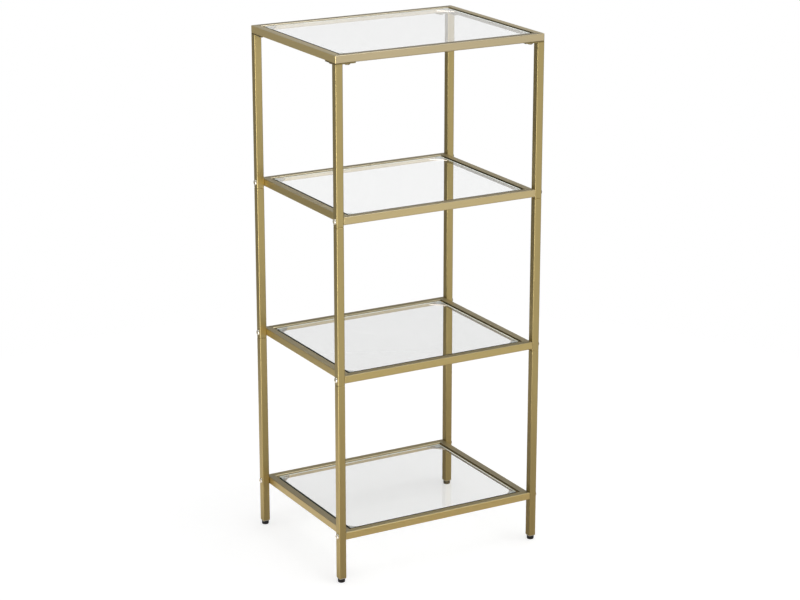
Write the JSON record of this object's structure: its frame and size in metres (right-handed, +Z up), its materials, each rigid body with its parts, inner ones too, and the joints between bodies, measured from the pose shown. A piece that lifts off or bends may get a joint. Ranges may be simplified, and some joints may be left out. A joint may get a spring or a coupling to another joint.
{
  "type": "etagere",
  "caption": "Open shelf stand: bolted frame of gold square steel tube, loose glass shelves on corner pads, and round feet that screw in and out.",
  "frame": {"origin": "on the floor under the centre of the frame", "axes": "+X to the right seen from the front, +Y to the back, +Z up"},
  "size_m": [0.456, 0.35, 1.04],
  "materials": {
    "gold_frame": "satin champagne-gold powder coat",
    "shelf_glass": "clear tempered glass with ground edges",
    "clear_pad": "clear soft plastic",
    "bright_bolt": "bright plated steel",
    "zinc_steel": "zinc-plated steel",
    "pale_plug": "pale moulded plastic",
    "black_foot": "black moulded plastic"
  },
  "bodies": {
    "frame": {"top_front_rail": "gold_frame", "top_back_rail": "gold_frame", "top_left_rail": "gold_frame", "top_right_rail": "gold_frame", "top_glass_brackets": "gold_frame", "top_glass_pads": "clear_pad", "top_rail_nuts": "zinc_steel", "upper_front_rail": "gold_frame", "upper_back_rail": "gold_frame", "upper_left_rail": "gold_frame", "upper_right_rail": "gold_frame", "upper_glass_brackets": "gold_frame", "upper_glass_pads": "clear_pad", "upper_rail_nuts": "zinc_steel", "lower_front_rail": "gold_frame", "lower_back_rail": "gold_frame", "lower_left_rail": "gold_frame", "lower_right_rail": "gold_frame", "lower_glass_brackets": "gold_frame", "lower_glass_pads": "clear_pad", "lower_rail_nuts": "zinc_steel", "bottom_front_rail": "gold_frame", "bottom_back_rail": "gold_frame", "bottom_left_rail": "gold_frame", "bottom_right_rail": "gold_frame", "bottom_glass_brackets": "gold_frame", "bottom_glass_pads": "clear_pad", "bottom_rail_nuts": "zinc_steel", "upper_shelf_bolts": "bright_bolt", "lower_shelf_bolts": "bright_bolt", "bottom_shelf_bolts": "bright_bolt", "front_left_leg": "gold_frame", "front_left_middle_post": "gold_frame", "front_left_upper_post": "gold_frame", "front_right_leg": "gold_frame", "front_right_middle_post": "gold_frame", "front_right_upper_post": "gold_frame", "back_left_leg": "gold_frame", "back_left_middle_post": "gold_frame", "back_left_upper_post": "gold_frame", "back_right_leg": "gold_frame", "back_right_middle_post": "gold_frame", "back_right_upper_post": "gold_frame", "lower_joint_sleeves": "zinc_steel", "upper_joint_sleeves": "zinc_steel", "top_corner_plates": "gold_frame", "top_frame_screws": "bright_bolt", "leg_plugs": "pale_plug"},
    "top_pane": {"top_glass": "shelf_glass"},
    "upper_pane": {"upper_glass": "shelf_glass"},
    "lower_pane": {"lower_glass": "shelf_glass"},
    "bottom_pane": {"bottom_glass": "shelf_glass"},
    "front_left_stud": {"front_left_foot_stud": "zinc_steel"},
    "front_left_foot": {"front_left_foot_base": "black_foot"},
    "front_right_stud": {"front_right_foot_stud": "zinc_steel"},
    "front_right_foot": {"front_right_foot_base": "black_foot"},
    "back_left_stud": {"back_left_foot_stud": "zinc_steel"},
    "back_left_foot": {"back_left_foot_base": "black_foot"},
    "back_right_stud": {"back_right_foot_stud": "zinc_steel"},
    "back_right_foot": {"back_right_foot_base": "black_foot"}
  },
  "joints": [
    {"name": "top_glass_lift", "type": "slide", "parent": "frame", "child": "top_pane", "axis": [0, 0, 1], "range_m": [0, 0.04]},
    {"name": "upper_glass_lift", "type": "slide", "parent": "frame", "child": "upper_pane", "axis": [0, 0, 1], "range_m": [0, 0.04]},
    {"name": "lower_glass_lift", "type": "slide", "parent": "frame", "child": "lower_pane", "axis": [0, 0, 1], "range_m": [0, 0.04]},
    {"name": "bottom_glass_lift", "type": "slide", "parent": "frame", "child": "bottom_pane", "axis": [0, 0, 1], "range_m": [0, 0.04]},
    {"name": "front_left_foot_travel", "type": "slide", "parent": "frame", "child": "front_left_stud", "axis": [0, 0, -1], "range_m": [0, 0.008]},
    {"name": "front_left_foot_turn", "type": "hinge", "parent": "front_left_stud", "child": "front_left_foot", "pos_m": [-0.2175, -0.1675, 0], "axis": [0, 0, -1], "range_deg": [0, 2880]},
    {"name": "front_right_foot_travel", "type": "slide", "parent": "frame", "child": "front_right_stud", "axis": [0, 0, -1], "range_m": [0, 0.008]},
    {"name": "front_right_foot_turn", "type": "hinge", "parent": "front_right_stud", "child": "front_right_foot", "pos_m": [0.2175, -0.1675, 0], "axis": [0, 0, -1], "range_deg": [0, 2880]},
    {"name": "back_left_foot_travel", "type": "slide", "parent": "frame", "child": "back_left_stud", "axis": [0, 0, -1], "range_m": [0, 0.008]},
    {"name": "back_left_foot_turn", "type": "hinge", "parent": "back_left_stud", "child": "back_left_foot", "pos_m": [-0.2175, 0.1675, 0], "axis": [0, 0, -1], "range_deg": [0, 2880]},
    {"name": "back_right_foot_travel", "type": "slide", "parent": "frame", "child": "back_right_stud", "axis": [0, 0, -1], "range_m": [0, 0.008]},
    {"name": "back_right_foot_turn", "type": "hinge", "parent": "back_right_stud", "child": "back_right_foot", "pos_m": [0.2175, 0.1675, 0], "axis": [0, 0, -1], "range_deg": [0, 2880]}
  ],
  "couplings": [
    {"joint": "front_left_foot_turn", "follows": "front_left_foot_travel", "rad_per_m": 6283.2},
    {"joint": "front_right_foot_turn", "follows": "front_right_foot_travel", "rad_per_m": 6283.2},
    {"joint": "back_left_foot_turn", "follows": "back_left_foot_travel", "rad_per_m": 6283.2},
    {"joint": "back_right_foot_turn", "follows": "back_right_foot_travel", "rad_per_m": 6283.2}
  ]
}
